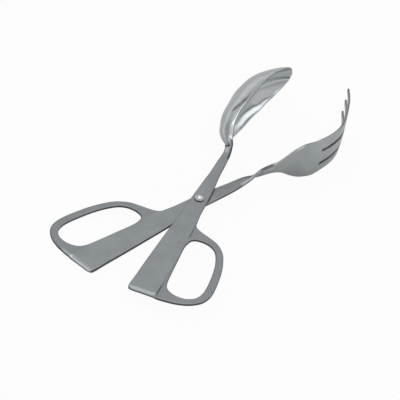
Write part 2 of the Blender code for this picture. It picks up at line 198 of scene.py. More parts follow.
# Along and middle as before; the rim's width and the bowl's depth as shares of the head's
SPOON_SHARES = (
    (0.434, -0.105, 0.290, 0.41),
    (0.452, -0.140, 0.370, 0.47),
    (0.470, -0.205, 0.450, 0.52),
    (0.501, -0.310, 0.600, 0.58),
    (0.543, -0.310, 0.770, 0.715),
    (0.585, -0.265, 0.860, 0.82),
    (0.647, -0.155, 0.940, 0.92),
    (0.723, -0.050, 0.975, 1.00),
    (0.793, 0.110, 1.000, 1.00),
    (0.841, 0.235, 0.930, 0.93),
    (0.885, 0.395, 0.855, 0.76),
    (0.942, 0.615, 0.665, 0.51),
    (0.974, 0.755, 0.500, 0.28),
    (0.990, 0.845, 0.345, 0.15),
    (1.000, 0.885, 0.000, 0.00),
)
FORK_BLADE_SHARES = (
    (0.000, 0.013, 1.000, 0.00, 0.00),
    (0.100, -0.018, 0.890, 0.00, 0.00),
    (0.190, -0.043, 0.750, 0.02, 0.00),
    (0.265, -0.035, 0.610, 0.12, 0.00),
    (0.300, -0.037, 0.520, 0.38, 0.00),
    (0.325, -0.039, 0.480, 0.72, 0.00),
    (0.360, -0.046, 0.560, 1.00, 0.00),
    (0.400, -0.077, 0.660, 1.00, 0.00),
)
FORK_SHARES = (
    (0.440, -0.138, 0.300, 0.10),
    (0.475, -0.183, 0.466, 0.34),
    (0.515, -0.250, 0.755, 0.72),
    (0.560, -0.350, 0.950, 0.96),
    (0.620, -0.463, 1.000, 1.00),
    (0.690, -0.445, 0.950, 0.85),
    (0.750, -0.369, 0.937, 0.65),
    (0.800, -0.225, 0.917, 0.50),
    (0.845, -0.007, 0.880, 0.40),
    (0.890, 0.229, 0.847, 0.32),
    (0.945, 0.555, 0.790, 0.24),
    (0.985, 0.845, 0.733, 0.18),
    (1.000, 0.980, 0.705, 0.15),
)
# Slot between two tines: along as shares of FORK_REACH, and how far it has opened
SLOT_SHARES = (
    (0.642, 0.00),
    (0.720, 0.02),
    (0.800, 0.08),
    (0.880, 0.28),
    (0.940, 0.58),
    (1.000, 1.00),
)
# Finger loop, from the blade round to the heel: outer edge and hole, as shares of LOOP_REACH and
# HANDLE_LENGTH
LOOP_EDGE_SHARES = (
    (0.204, -0.259), (0.240, -0.274), (0.336, -0.296), (0.497, -0.323), (0.662, -0.358),
    (0.805, -0.422), (0.888, -0.502), (0.944, -0.589), (0.977, -0.682), (0.9945, -0.776),
    (0.982, -0.850), (0.910, -0.916), (0.746, -0.968), (0.544, -0.995), (0.348, -1.004),
    (0.177, -1.005),
)
LOOP_HOLE_SHARES = (
    (0.232, -0.410), (0.268, -0.390), (0.332, -0.379), (0.448, -0.379), (0.571, -0.395),
    (0.682, -0.436), (0.761, -0.510), (0.812, -0.596), (0.839, -0.687), (0.852, -0.776),
    (0.838, -0.840), (0.777, -0.896), (0.655, -0.926), (0.507, -0.930), (0.385, -0.915),
    (0.291, -0.884), (0.248, -0.832), (0.230, -0.739), (0.214, -0.608), (0.199, -0.476),
)
# Rows of mesh points along the crease, as shares of CREASE_WIDTH beside it and of HANDLE_LENGTH
# from end to end, and along the heel, as shares of HEEL_BEVEL
CREASE_ROW_SHARES = (-6.0, -3.0, -1.5, -0.8, -0.5, -0.25, 0, 0.25, 0.5, 0.8, 1.5, 3.0, 6.0)
CREASE_RUN_SHARES = (-0.985, -0.22)
HEEL_ROW_SHARES = tuple(row / 6 for row in range(1, 9))

# The photograph's view: the camera looks down on the arms' plane
IMAGE_SIZE = 400
VIEW_ELEVATION = math.radians(38.3)
VIEW_ROLL = math.radians(9.3)
VIEW_AZIMUTH = math.radians(27.0)
VIEW_DISTANCE = 2.75
PIXEL = 0.645 * MM
RIVET_PIXEL = (199.4, 197.7)
RIVET_HEIGHT = 2.95 * MM
SENSOR = 36.0
FAR_CLIP = 20

# The room: greys from the horizon up to straight above, by the sine of the elevation; and cards
# as azimuth, elevation, half width, half height and lean in degrees, and grey
ROOM_GREYS = ((0.0, 0.74), (0.10, 0.76), (0.19, 1.0), (0.30, 1.06), (0.38, 0.95), (0.47, 0.64),
              (0.64, 0.57), (0.90, 0.80), (1.0, 1.0))
CARDS = (
    (-38, 46, 12, 8, 0, 1.25),
    (-58, 26, 9, 4.2, -33, 0.12),
    (50, 50, 20, 12, 0, 0.85),
    (12, 46, 4.5, 17, 14, 2.2),
    (23, 49, 1.6, 18, 17, 0.0),
    (3, 40, 2.0, 9, 0, 0.2),
)
CARD_SOFTNESS = 0.45
CARD_FRONT = 0.1                      # cosine from which a direction fully faces a card
GLOSSY_SHARE = 0.1                    # of the white background that reflections show
FLOOR_SIZE = 4
FLOOR_GAP = 0.1 * MM
FLOOR_WHITE = 0.95                    # share of plain white in the floor that the camera sees
PAPER_GREY = 0.70
LIGHT_PLACE = (-0.3, 0.2, 1.6)
LIGHT_SIZE = 1.2
LIGHT_POWER = 5

# Colour and roughness of each steel: the arms' brushed handle and then their polished head; the
# handle's colour is darker partly for its brushing and partly as painted shade
SPOON_FINISH = ((0.320, 0.342, 0.355), 0.36, (0.59, 0.62, 0.635), 0.13)
FORK_FINISH = ((0.320, 0.342, 0.354), 0.38, (0.48, 0.51, 0.51), 0.25)
RIVET_FINISH = ((0.66, 0.66, 0.65), 0.24)
WASHER_FINISH = ((0.55, 0.56, 0.57), 0.35)
POLISH_REACH = (45 * MM, 75 * MM)     # along the arm, from brushed to polished

# Noise over the steel: scale, detail and roughness
BRUSHING = (1, 3, 0.6)
BRUSHING_STRETCH = (9000, 260, 1)
CLOUDS = (70, 3, 0.55)
GRAIN = (900, 2, 0.6)
TURNING = (900, 2, 0.5)
# What the noise does to roughness and tone
BRUSHED_ROUGHNESS = 0.10
CLOUDED_ROUGHNESS = 0.05
TURNED_ROUGHNESS = 0.06
CLOUD_RANGE = (0.25, 0.8)
CLOUD_TONE = 0.12
LEAST_TONE = 0.90
GRAIN_TONE = 0.3
POLISHED_GRAIN = 0.3                  # share of the grain that stays on the polish
BRUSHED_BUMP = 0.10
BUMP_HEIGHT = 0.02 * MM
TURNED_TINT = 0.95
# colour share left in the painted shade at the rivet's foot
FOOT_SHADE = 0.08

# The sheared edge is darker and rougher, the darkness partly cut steel and partly painted shade,
# but for a stretch of the fork's left edge, which carries a painted highlight broken by short gaps
WALL_START = 0.35                     # of the edge's turn, where it starts to look sheared
WALL_DARKNESS = 0.6
WALL_ROUGHNESS = 0.2
DARKEST = 0.92
GLINT_REACH = (66 * MM, 84 * MM)
GLINT_FADE = 4.0 * MM
GLINT_SIDE = (-4.0 * MM, -6.0 * MM)
GLINT_WALL = (0.2, 0.7)
GLINT_COLOUR = (0.95, 0.95, 0.94)
GLINT_GAP = 71.5 * MM
GLINT_GAP_SPACING = 6.5 * MM
GLINT_GAP_RANGE = (0.1, 0.6)
TINE_SHEEN = 0.16                     # painted sheen added towards the tines, over TINE_REACH
TINE_REACH = (80 * MM, 102 * MM)

# Painted shade and painted highlights on the blank, with the loop's darker tone: dark above 0 and
# light below. A stretch is low, high and the fade at each
CREASE_FRONT_SHARES = (0.21, 0.41, 0.05, 0.05)    # of HANDLE_LENGTH
CREASE_HEEL_SHARES = (0.86, 1.0, 0.05, 0.03)
LOOP_SHADE = 0.18
# painted shade round the fork's slots, where their walls lie in shadow
SLOT_SHADE = 1.5
SLOT_SHADE_REACH = 0.7 * MM
SLOT_SHADE_SHARES = (0.634, 0.92, 0.010, 0.12)    # of FORK_REACH
ROOT_SHADE = 1.4                      # painted shadow at the root of the bowl's back, where it bulges out over the neck
ROOT_PLACE = 61.6 * MM
ROOT_WIDTH = 0.8 * MM
ROOT_FADE = 1.0 * MM
LIP_HIGHLIGHT = -1.3                      # painted highlight along the heel's rounded lip, as a shade below 0
LIP_INSET = 0.6 * MM
LIP_WIDTH = 0.8 * MM
LIP_END = 18 * MM
LIP_FADE = 6 * MM
# Painted reflections, dark and light, where an arm twists: middle and width as shares of the half
# width, start and end in mm from the rivet, and shade
FORK_TWIST_REFLECTIONS = (
    (0.0, 1.5, 10, 40, 0.2),
    (0.85, 0.35, 36, 57, 0.8),
    (-0.80, 0.40, 34, 56, -1.1),
    (-0.75, 0.25, 55, 71, 0.8),
    (-0.25, 0.22, 55, 68, -0.9),
    (-0.85, 0.25, 64, 71.5, -1.7),
    (-0.92, 0.16, 72, 77.5, -1.8),
    (-0.95, 0.12, 78.5, 88, -1.3),
)
SPOON_TWIST_REFLECTIONS = (
    (0.82, 0.34, 47, 68, 1.3),
    (-0.35, 0.40, 53, 61, -0.7),
    (0.30, 0.35, 56, 66, 0.6),
    (0.90, 0.26, 67, 78, 0.6),
    (0.90, 0.11, 77, 99, -0.8),
)
REFLECTION_FADE = 3                       # mm


class Value:
    """A shader socket that can be used in arithmetic."""

    def __init__(self, shader, socket):
        self.shader = shader
        self.socket = socket

    def math(self, operation, *others):
        sockets = dict(enumerate((self,) + others))
        return self.shader.node("ShaderNodeMath", {"operation": operation}, sockets)[0]

    def dot(self, direction):
        return self.shader.node("ShaderNodeVectorMath", {"operation": "DOT_PRODUCT"},
                                {0: self, 1: direction})["Value"]

    def __add__(self, other):
        return self.math("ADD", other)

    def __radd__(self, other):
        return self.math("ADD", other)

    def __sub__(self, other):
        return self.math("SUBTRACT", other)

    def __rsub__(self, other):
        return (self * -1).math("ADD", other)

    def __mul__(self, other):
        return self.math("MULTIPLY", other)

    def __rmul__(self, other):
        return self.math("MULTIPLY", other)

    def over(self, low, high):
        """0 at low and before, 1 at high and past it, smooth between."""
        node = self.shader.node("ShaderNodeMapRange", {"interpolation_type": "SMOOTHSTEP"},
                                {"Value": self, "From Min": low, "From Max": high})
        return node["Result"]


class Shader:
    """A material's or the world's node tree, built node by node."""

    def __init__(self, owner):
        owner.use_nodes = True
        self.tree = owner.node_tree
        self.tree.nodes.clear()

    def node(self, kind, settings=None, sockets=None):
        made = self.tree.nodes.new(kind)
        for name, value in (settings or {}).items():
            if name == "stops":
                ramp = made.color_ramp
                while len(ramp.elements) < len(value):
                    ramp.elements.new(1)
                for element, (place, grey) in zip(ramp.elements, value):
                    element.position = place
                    element.color = (grey, grey, grey, 1)
            else:
                setattr(made, name, value)
        for name, value in (sockets or {}).items():
            if isinstance(value, Value):
                self.tree.links.new(value.socket, made.inputs[name])
            else:
                made.inputs[name].default_value = value
        return Outputs(self, made)

    def noise(self, place, scale, detail, roughness, dimensions="2D"):
        return self.node("ShaderNodeTexNoise", {"noise_dimensions": dimensions},
                         {"Vector": place, "Scale": scale, "Detail": detail,
                          "Roughness": roughness})["Fac"]

    def mixed(self, share, first, second):
        """Two colours, each a tuple or a Value, mixed by a share."""
        first, second = (c + (1,) if isinstance(c, tuple) else c for c in (first, second))
        return self.node("ShaderNodeMix", {"data_type": "RGBA"}, {0: share, 6: first, 7: second})[2]

    def metal(self, sockets):
        """Ends a material in bare metal."""
        principled = self.node("ShaderNodeBsdfPrincipled", None, {"Metallic": 1.0, **sockets})
        self.node("ShaderNodeOutputMaterial", None, {"Surface": principled["BSDF"]})


class Outputs:
    """A node's outputs by name or number, each as a Value."""

    def __init__(self, shader, node):
        self.shader = shader
        self.node = node

    def __getitem__(self, name):
        return Value(self.shader, self.node.outputs[name])


def curve_through(rows, places):
    """Columns of a table read at places along its first column, by a curve without overshoot."""
    rows = np.array(rows, float)
    along = rows[:, 0]
    out = []
    for column in rows.T[1:]:
        rise = np.diff(column) / np.diff(along)
        slope = np.concatenate([rise[:1], np.zeros(len(rise) - 1), rise[-1:]])
        both = rise[:-1] * rise[1:] > 0
        before, after = rise[:-1][both], rise[1:][both]
        slope[1:-1][both] = 2 * before * after / (before + after)
        i = np.clip(np.searchsorted(along, places) - 1, 0, len(along) - 2)
        span = along[i + 1] - along[i]
        t = np.clip((places - along[i]) / span, 0, 1)
        out.append((2 * t**3 - 3 * t**2 + 1) * column[i] + (t**3 - 2 * t**2 + t) * span * slope[i]
                   + (3 * t**2 - 2 * t**3) * column[i + 1] + (t**3 - t**2) * span * slope[i + 1])
    return out


def softened(column, reach):
    """A sampled column with its kinks spread over a reach of samples."""
    half = int(3 * reach)
    weights = np.exp(-0.5 * (np.arange(-half, half + 1) / reach)**2)
    before = 2 * column[0] - column[half:0:-1]
    after = 2 * column[-1] - column[-2:-half - 2:-1]
    return np.convolve(np.concatenate([before, column, after]), weights / weights.sum(), "valid")


def smooth_step(t):
    t = np.clip(t, 0, 1)
    return t * t * (3 - 2 * t)


def stretch_of(value, low, high, fade_in, fade_out):
    """1 from low to high, with a fade inside each end, and 0 beyond."""
    return smooth_step((value - low) / fade_in) * smooth_step((high - value) / fade_out)


def unit(vectors):
    return vectors / np.maximum(np.linalg.norm(vectors, axis=-1, keepdims=True), 1e-12)


def linked(name, data):
    """A new object in the scene."""
    made = bpy.data.objects.new(name, data)
    bpy.context.scene.collection.objects.link(made)
    return made


class Arm:
    """The shape of one arm: where each point of its flat blank lies once it is bent."""

    def __init__(self, reach, sway, blade_shares, head_shares, head_width, head_depth):
        self.reach = reach
        rows = [(along * reach, middle * sway, (wide * PIVOT_WIDTH)**2, turn, deep * head_depth)
                for along, middle, wide, turn, deep in blade_shares]
        rows += [(along * reach, middle * sway, (wide * head_width)**2, 1, deep * head_depth)
                 for along, middle, wide, deep in head_shares]
        self.places = np.arange(0, reach + TABLE_STEP / 2, TABLE_STEP)
        middle, square, turn, depth = curve_through(rows, self.places)
        spread = SMOOTHING / TABLE_STEP
        self.middle = softened(middle, spread)
        self.width = np.sqrt(np.maximum(softened(square, spread), 0))
        self.turn = softened(turn, spread) * HEAD_TURN
        self.depth = np.maximum(softened(depth, spread), 0)
        self.slope = np.gradient(self.middle, TABLE_STEP)

    def middle_at(self, y):
        return np.interp(y, self.places, self.middle)

    def half_width(self, y):
        return np.interp(y, self.places, self.width) / 2

    def surface(self, x, y):
        """The middle surface of the bent blank."""
        head = y > 0
        middle = np.where(head, self.middle_at(y), 0)
        slope = np.interp(y, self.places, self.slope) * smooth_step(y / SQUARE_REACH)
        turn = np.where(head, np.interp(y, self.places, self.turn), 0)
        depth = np.where(head, np.interp(y, self.places, self.depth), 0)
        half = np.maximum(self.half_width(y), NUDGE)
        steep = 1 / np.sqrt(1 + slope**2)
        side = np.stack([steep, -slope * steep], -1)
        swing = np.clip((x - middle) / half, -SWING_LIMIT, SWING_LIMIT) * BOWL_ARC
        bowed = smooth_step(depth / (BOWED_SHARE * SPOON_DEPTH))
        sway = (x - middle) * (1 - bowed) + half * np.sin(swing) / math.sin(BOWL_ARC) * bowed
        bow = depth * (np.cos(swing) - math.cos(BOWL_ARC)) / (1 - math.cos(BOWL_ARC))
        across = sway * np.cos(turn) - bow * np.sin(turn)
        up = sway * np.sin(turn) + bow * np.cos(turn)
        return np.stack([middle + side[..., 0] * across, y + side[..., 1] * across,
                         INNER_FACE + BLADE_THICKNESS / 2 + up], -1)

    def faces(self, x, y):
        """Distance of the outer and of the inner face from the middle surface."""
        start, full = (share * self.reach for share in THINNING_SHARES)
        thinned = smooth_step((y - start) / (full - start))
        half = (BLADE_THICKNESS + (HEAD_THICKNESS - BLADE_THICKNESS) * thinned) / 2
        heelward = np.clip(-y / HANDLE_LENGTH, 0, 1)
        plate = half + (PLATE_THICKNESS - BLADE_THICKNESS) * heelward
        loop = LOOP_THICKNESS - BLADE_THICKNESS / 2
        beyond = x - plate_edges(y)[1]
        step = smooth_step(beyond / CREASE_WIDTH + 0.5) * below_blade(y)
        fallen = np.clip(1 - (y + HANDLE_LENGTH - EDGE_RADIUS) / HEEL_BEVEL, 0, 1)**2
        fallen = fallen * smooth_step(0.5 - beyond / BEVEL_END)
        return (plate + (loop - plate) * step - HEEL_BEVEL_DEPTH * fallen,
                -half + HEEL_BEVEL_DEPTH * fallen)

    def bent(self, x, y, side):
        """Places on the outer face, side 1, or the inner face, side -1."""
        outer, inner = self.faces(x, y)
        height = outer if side > 0 else inner
        return self.surface(x, y) + self.normal(x, y) * height[..., None]

    def normal(self, x, y):
        along_x = self.surface(x + NUDGE, y) - self.surface(x - NUDGE, y)
        along_y = self.surface(x, y + TABLE_STEP) - self.surface(x, y - TABLE_STEP)
        return unit(np.cross(along_x, along_y))

    def face_normal(self, x, y, side):
        along_x = self.bent(x + NUDGE, y, side) - self.bent(x - NUDGE, y, side)
        along_y = self.bent(x, y + TABLE_STEP, side) - self.bent(x, y - TABLE_STEP, side)
        return unit(np.cross(along_x, along_y)) * side


def plate_edges(y):
    left, right = curve_through(PLATE_SHARES, np.clip(y / HANDLE_LENGTH, -1, 0))
    return left * HEEL_WIDTH, right * HEEL_WIDTH


def below_blade(y):
    """0 on the blade and 1 on the handle, where the loop lies beside the plate."""
    return smooth_step((-y / HANDLE_LENGTH - CREASE_START_SHARE) / CREASE_FADE_SHARE)


def rounded(points, closed=True):
    """A smooth curve through points, read in even steps."""
    points = np.array(points, float)
    ring = np.concatenate([points[-1:], points, points[:2]]) if closed else np.concatenate(
        [2 * points[:1] - points[1:2], points, 2 * points[-1:] - points[-2:-1]])
    out = []
    for a, b, c, d in zip(ring, ring[1:], ring[2:], ring[3:]):
        for t in np.arange(CURVE_STEPS) / CURVE_STEPS:
            out.append(0.5 * (2 * b + (c - a) * t + (2 * a - 5 * b + 4 * c - d) * t**2
                              + (3 * b - 3 * c + d - a) * t**3))
    if not closed:
        out.append(points[-1])
    return np.array(out)


def even(points, closed=False):
    """Points at the rim's spacing along a line."""
    if closed:
        points = np.concatenate([points, points[:1]])
    runs = np.concatenate([[0], np.cumsum(np.linalg.norm(np.diff(points, axis=0), axis=1))])
    count = max(int(round(runs[-1] / RIM_SPACING)), 2)
    places = np.linspace(0, runs[-1], count + 1)
    out = np.stack([np.interp(places, runs, column) for column in points.T], -1)
    return out[:-1] if closed else out


def loop_points(shares):
    return np.array(shares) * (LOOP_REACH, HANDLE_LENGTH)


def half_circle():
    """Points round a half circle of radius 1 from its right end, without its ends."""
    angles = math.pi * np.arange(1, TINE_POINTS) / TINE_POINTS
    return np.stack([np.cos(angles), np.sin(angles)], -1)


def spoon_rim(arm):
    """The blade's and bowl's edge, anticlockwise from the rivet round the tip and back."""
    tip = 1 - SPOON_TIP_SHARE * np.linspace(1, 0, SPOON_TIP_POINTS)**2
    y = np.concatenate([np.arange(0, (1 - SPOON_TIP_SHARE) * arm.reach, TABLE_STEP),
                        arm.reach * tip])
    middle = arm.middle_at(y)
    half = arm.half_width(y)
    right = np.stack([middle + half, y], -1)
    left = np.stack([middle - half, y], -1)[:-1]
    return even(np.concatenate([right, left[::-1]]))


def tine_edges(arm, y, slot_side):
    """The two walls of a slot, low and high x, beside the middle tine."""
    opened = curve_through(SLOT_SHARES, y / FORK_REACH)[0]
    half = arm.half_width(y)
    tip_slot = (2 * arm.half_width(arm.reach) - 3 * TINE_TIP_WIDTH) / 2
    slot = SLOT_WIDTH + (tip_slot - SLOT_WIDTH) * opened
    share = MIDDLE_TINE_SHARE + (1 / 3 - MIDDLE_TINE_SHARE) * opened
    tine = (2 * half - 2 * slot) * share
    centre = arm.middle_at(y) + slot_side * (tine + slot) / 2
    return centre - slot / 2, centre + slot / 2


def tine_tip(start, end):
    """A tine's rounded end, from its right wall over to its left."""
    return (start + end) / 2 + half_circle() * ((start[0] - end[0]) / 2, TINE_TIP_WIDTH / 2)


def slot_root(walls):
    """A slot's rounded root, from its right wall under to its left."""
    left, right = walls[0][0], walls[1][0]
    radius = (right[0] - left[0]) / 2
    return (left + right) / 2 + half_circle() * (radius, -radius)


def fork_rim(arm):
    """The blade's and fork's edge, anticlockwise, in and out of the two slots."""
    tip = arm.reach - TINE_TIP_WIDTH / 2
    root = SLOT_SHARES[0][0] * arm.reach + SLOT_WIDTH / 2
    y = np.arange(0, tip, TABLE_STEP)
    middle = arm.middle_at(y)
    half = arm.half_width(y)
    right = even(np.stack([middle + half, y], -1))
    left = even(np.stack([middle - half, y], -1))
    y = np.arange(root, tip, TABLE_STEP)
    slots = [[even(np.stack([wall, y], -1)) for wall in tine_edges(arm, y, slot_side)]
             for slot_side in (1, -1)]
    (near_low, near_high), (far_low, far_high) = slots
    return np.concatenate([
        right, tine_tip(right[-1], near_high[-1]),
        near_high[::-1], slot_root(slots[0]), near_low, tine_tip(near_low[-1], far_high[-1]),
        far_high[::-1], slot_root(slots[1]), far_low, tine_tip(far_low[-1], left[-1]),
        left[::-1]])


def blank_outline(head_rim):
    """The whole blank's outer edge, anticlockwise: heel, finger loop, blade, head and back."""
    y = np.arange(-LOOP_START_SHARE * HANDLE_LENGTH, -TABLE_STEP, RIM_SPACING)
    right = np.stack([plate_edges(y)[1], y], -1)
    y = np.arange(-TABLE_STEP, -CORNER_START_SHARE * HANDLE_LENGTH, -RIM_SPACING)
    left = np.stack([plate_edges(y)[0], y], -1)
    heel = np.array(HEEL_SHARES) * (HEEL_WIDTH, HANDLE_LENGTH)
    low = np.concatenate([left[-1:], heel, loop_points(LOOP_EDGE_SHARES)[::-1], right[:1]])
    return np.concatenate([even(rounded(low, closed=False))[1:-1], right, head_rim, left])


def blank_holes():
    """The finger loop's hole and the rivet's, anticlockwise."""
    finger_hole = even(rounded(loop_points(LOOP_HOLE_SHARES)), closed=True)[::-1]
    angles = np.linspace(0, 2 * math.pi, HOLE_POINTS, endpoint=False)
    return [finger_hole, HOLE_RADIUS * np.stack([np.cos(angles), np.sin(angles)], -1)]


def outward(ring):
    """Unit directions out of an anticlockwise ring."""
    run = np.roll(ring, -1, 0) - np.roll(ring, 1, 0)
    return unit(np.stack([run[:, 1], -run[:, 0]], -1))


def inside(points, rings):
    """Which points lie inside an odd number of rings, and how far each is from their points."""
    crossings = np.zeros(len(points), int)
    near = np.full(len(points), np.inf)
    x, y = points.T
    for ring in rings:
        for start, end in zip(ring, np.roll(ring, -1, 0)):
            spans = (y < start[1]) != (y < end[1])
            if start[1] != end[1]:
                cut = start[0] + (y - start[1]) * (end[0] - start[0]) / (end[1] - start[1])
                crossings += spans & (x < cut)
            near = np.minimum(near, np.hypot(x - start[0], y - start[1]))
    return crossings % 2 == 1, near


def grid(low, high, spacing):
    """Points in staggered rows."""
    x, y = np.meshgrid(np.arange(low[0], high[0], spacing), np.arange(low[1], high[1], spacing))
    x = x + np.where(np.arange(len(x))[:, None] % 2, spacing / 2, 0)
    return np.stack([x.ravel(), y.ravel()], -1)


def crease_points():
    """Rows of points where the plate steps down to the finger loop, and on its heel."""
    low, high = (share * HANDLE_LENGTH for share in CREASE_RUN_SHARES)
    y = np.arange(low, high, RIM_SPACING)
    edge = plate_edges(y)[1]
    rows = [np.stack([edge + share * CREASE_WIDTH, y], -1) for share in CREASE_ROW_SHARES]
    left, right = (side[0] for side in plate_edges(np.array([-HANDLE_LENGTH])))
    x = np.arange(left, right + 2 * BEVEL_END, RIM_SPACING)
    for share in HEEL_ROW_SHARES:
        rows.append(np.stack([x, x * 0 - HANDLE_LENGTH + EDGE_RADIUS + share * HEEL_BEVEL], -1))
    return rows


def crease(x, y):
    """How much painted shade a point of the outer face gets in the crease between plate and loop, 0
    to 1.
    """
    nearness = np.exp(-(2 * (x - plate_edges(y)[1]) / CREASE_WIDTH)**2)
    down = -y / HANDLE_LENGTH
    return nearness * np.maximum(stretch_of(down, *CREASE_FRONT_SHARES),
                                 stretch_of(down, *CREASE_HEEL_SHARES))


def loop_marks(x, y):
    """The finger loop is a shade darker than the plate."""
    beyond = smooth_step((x - plate_edges(y)[1]) / CREASE_WIDTH)
    return LOOP_SHADE * beyond * below_blade(y)


def twist_reflections(arm, rows, x, y):
    """Painted reflections, dark and light, where an arm twists."""
    across = (x - arm.middle_at(y)) / arm.half_width(y)
    shade = 0
    for centre, wide, start, end, depth in rows:
        along = stretch_of(y / MM, start, end, REFLECTION_FADE, REFLECTION_FADE)
        shade = shade + depth * along * np.exp(-((across - centre) / wide)**2)
    return shade


def spoon_marks(arm, x, y):
    """The loop, painted reflections where the arm twists, and a painted shadow at the root of the
    bowl's back.
    """
    # painted shadow at the root of the bowl's back
    root_shadow = np.exp(-((y - ROOT_PLACE) / ROOT_WIDTH)**2) * smooth_step(0.5 - x / ROOT_FADE)
    return ROOT_SHADE * root_shadow + twist_reflections(arm, SPOON_TWIST_REFLECTIONS, x, y) + loop_marks(x, y)


def fork_marks(arm, x, y):
    """The loop, painted reflections where the arm twists, a painted highlight along the heel, and
    painted shade round the slots.
    """
    # painted highlight along the heel's rounded lip
    lip_highlight = np.exp(-((y + HANDLE_LENGTH - LIP_INSET) / LIP_WIDTH)**2)
    lip_highlight = lip_highlight * smooth_step((LIP_END - x) / LIP_FADE)
    shade = twist_reflections(arm, FORK_TWIST_REFLECTIONS, x, y) + LIP_HIGHLIGHT * lip_highlight + loop_marks(x, y)
    # painted shade round each slot, where its walls lie in shadow
    along = stretch_of(y / arm.reach, *SLOT_SHADE_SHARES)
    for slot_side in (1, -1):
        low, high = tine_edges(arm, y, slot_side)
        half = (high - low) / 2 + SLOT_SHADE_REACH
        shade = shade + SLOT_SHADE * along * np.exp(-((x - (low + high) / 2) / half)**4)
    return shade


def inset_edge(arm, ring):
    """A ring drawn in by its rounded edge, with the directions out of it and the radii."""
    away = outward(ring)
    outer, inner = arm.faces(*ring.T)
    radius = np.minimum(EDGE_RADIUS, EDGE_SHARE * (outer - inner))
    step = arm.surface(*(ring + away * NUDGE).T) - arm.surface(*(ring - away * NUDGE).T)
    stretch = np.maximum(np.linalg.norm(step, axis=1) / (2 * NUDGE), LEAST_STRETCH)
    return ring - away * (radius / stretch)[:, None], away, radius


def filled(rings, loose):
    """The rings' points and the loose ones, and triangles over them between the rings."""
    edges = []
    start = 0
    for ring in rings:
        edges += [(start + i, start + (i + 1) % len(ring)) for i in range(len(ring))]
        start += len(ring)
    points = np.concatenate(rings + [loose])
    verts, _, faces, sources, _, _ = delaunay_2d_cdt([Vector(p) for p in points / MM], edges, [], 0,
                                                     1e-6)
    flat = np.array([vert[:] for vert in verts]) * MM
    triangles = np.array([face for face in faces if len(face) == 3])
    kept = triangles[inside(flat[triangles].mean(1), rings)[0]]
    return points, np.array([source[0] for source in sources])[kept]


def edge_levels(arm, inset, away, radius):
    """The rounded edge from the outer face to the inner, level by level: its points, their
    normals, their places on the blank, and how sheared they look, which darkens them partly as cut
    steel and partly as painted shade."""
    out = arm.normal(*inset.T)
    run = arm.surface(*(inset + away * NUDGE).T) - arm.surface(*(inset - away * NUDGE).T)
    run = unit(run - out * (run * out).sum(1)[:, None])
    middle = arm.surface(*inset.T)
    outer, inner = arm.faces(*inset.T)
    turns = [(1, outer, k) for k in range(1, RIM_STEPS + 1)]
    turns += [(-1, inner, k) for k in range(RIM_STEPS, 0, -1)]
    for side, height, k in turns:
        angle = math.pi / 2 * k / RIM_STEPS
        lift = height - side * radius * (1 - math.cos(angle))
        reach = (radius * math.sin(angle))[:, None]
        sheared = smooth_step((k / RIM_STEPS - WALL_START) / (1 - WALL_START))
        yield (middle + out * lift[:, None] + run * reach,
               run * math.sin(angle) + out * side * math.cos(angle), inset + away * reach, sheared)


def stamping(name, arm, outline, holes, marks):
    """The bent blank as a closed mesh with round edges, and each point's exact normal and place
    on the blank."""
    edges = [inset_edge(arm, ring) for ring in [outline] + [hole[::-1] for hole in holes]]
    rings = [edge[0] for edge in edges]
    low, high = outline.min(0), outline.max(0)
    loose = np.concatenate([grid((low[0], 0), high, FINE), grid(low, (high[0], 0), COARSE)]
                           + crease_points())
    spacing = np.where(loose[:, 1] > 0, FINE, RIM_SPACING)
    within, near = inside(loose, rings)
    points, kept = filled(rings, loose[within & (near > NEAREST_SHARE * spacing)])
    total = len(points)
    x, y = points.T
    coords = [arm.bent(x, y, 1), arm.bent(x, y, -1)]
    normals = [arm.face_normal(x, y, 1), arm.face_normal(x, y, -1)]
    flats = [points, points]
    # the outer face takes painted shade in the crease; both faces take the arm's painted shades and
    # highlights
    walls = [crease(x, y) + marks(arm, x, y), marks(arm, x, y)]
    faces = [kept, kept[:, ::-1] + total]
    start = 0
    offset = 2 * total
    for edge in edges:
        size = len(edge[0])
        levels = [np.arange(start, start + size)]
        for place, normal, flat, sheared in edge_levels(arm, *edge):
            coords.append(place)
            normals.append(normal)
            flats.append(flat)
            # the edge's sheared look, partly cut steel and partly painted shade, with the arm's
            # painted shades
            walls.append(sheared + marks(arm, *flat.T))
            levels.append(np.arange(offset, offset + size))
            offset += size
        levels.append(levels[0] + total)
        for upper, lower in zip(levels, levels[1:]):
            faces.append(np.stack([upper, lower, np.roll(lower, -1), np.roll(upper, -1)], -1))
        start += size
    mesh = bpy.data.meshes.new(name)
    mesh.from_pydata(np.concatenate(coords).tolist(), [],
                     [face.tolist() for block in faces for face in block])
    mesh.attributes.new("wall", "FLOAT", "POINT").data.foreach_set("value", np.concatenate(walls))
    return mesh, np.concatenate(normals), np.concatenate(flats)


def arm_object(name, arm, head_rim, place, material, marks):
    mesh, normals, flats = stamping(name, arm, blank_outline(head_rim), blank_holes(), marks)
    layer = mesh.uv_layers.new(name="blank")
    corners = np.zeros(len(mesh.loops), int)
    mesh.loops.foreach_get("vertex_index", corners)
    layer.data.foreach_set("uv", flats[corners].ravel())
    mesh.transform(place)
    normals = normals @ np.array(place.to_3x3()).T
    mesh.shade_smooth()
    mesh.validate()
    mesh.normals_split_custom_set_from_vertices(normals.tolist())
    mesh.materials.append(material)
    return linked(name, mesh)


def tinted(colour, factor):
    return tuple(c * factor for c in colour)


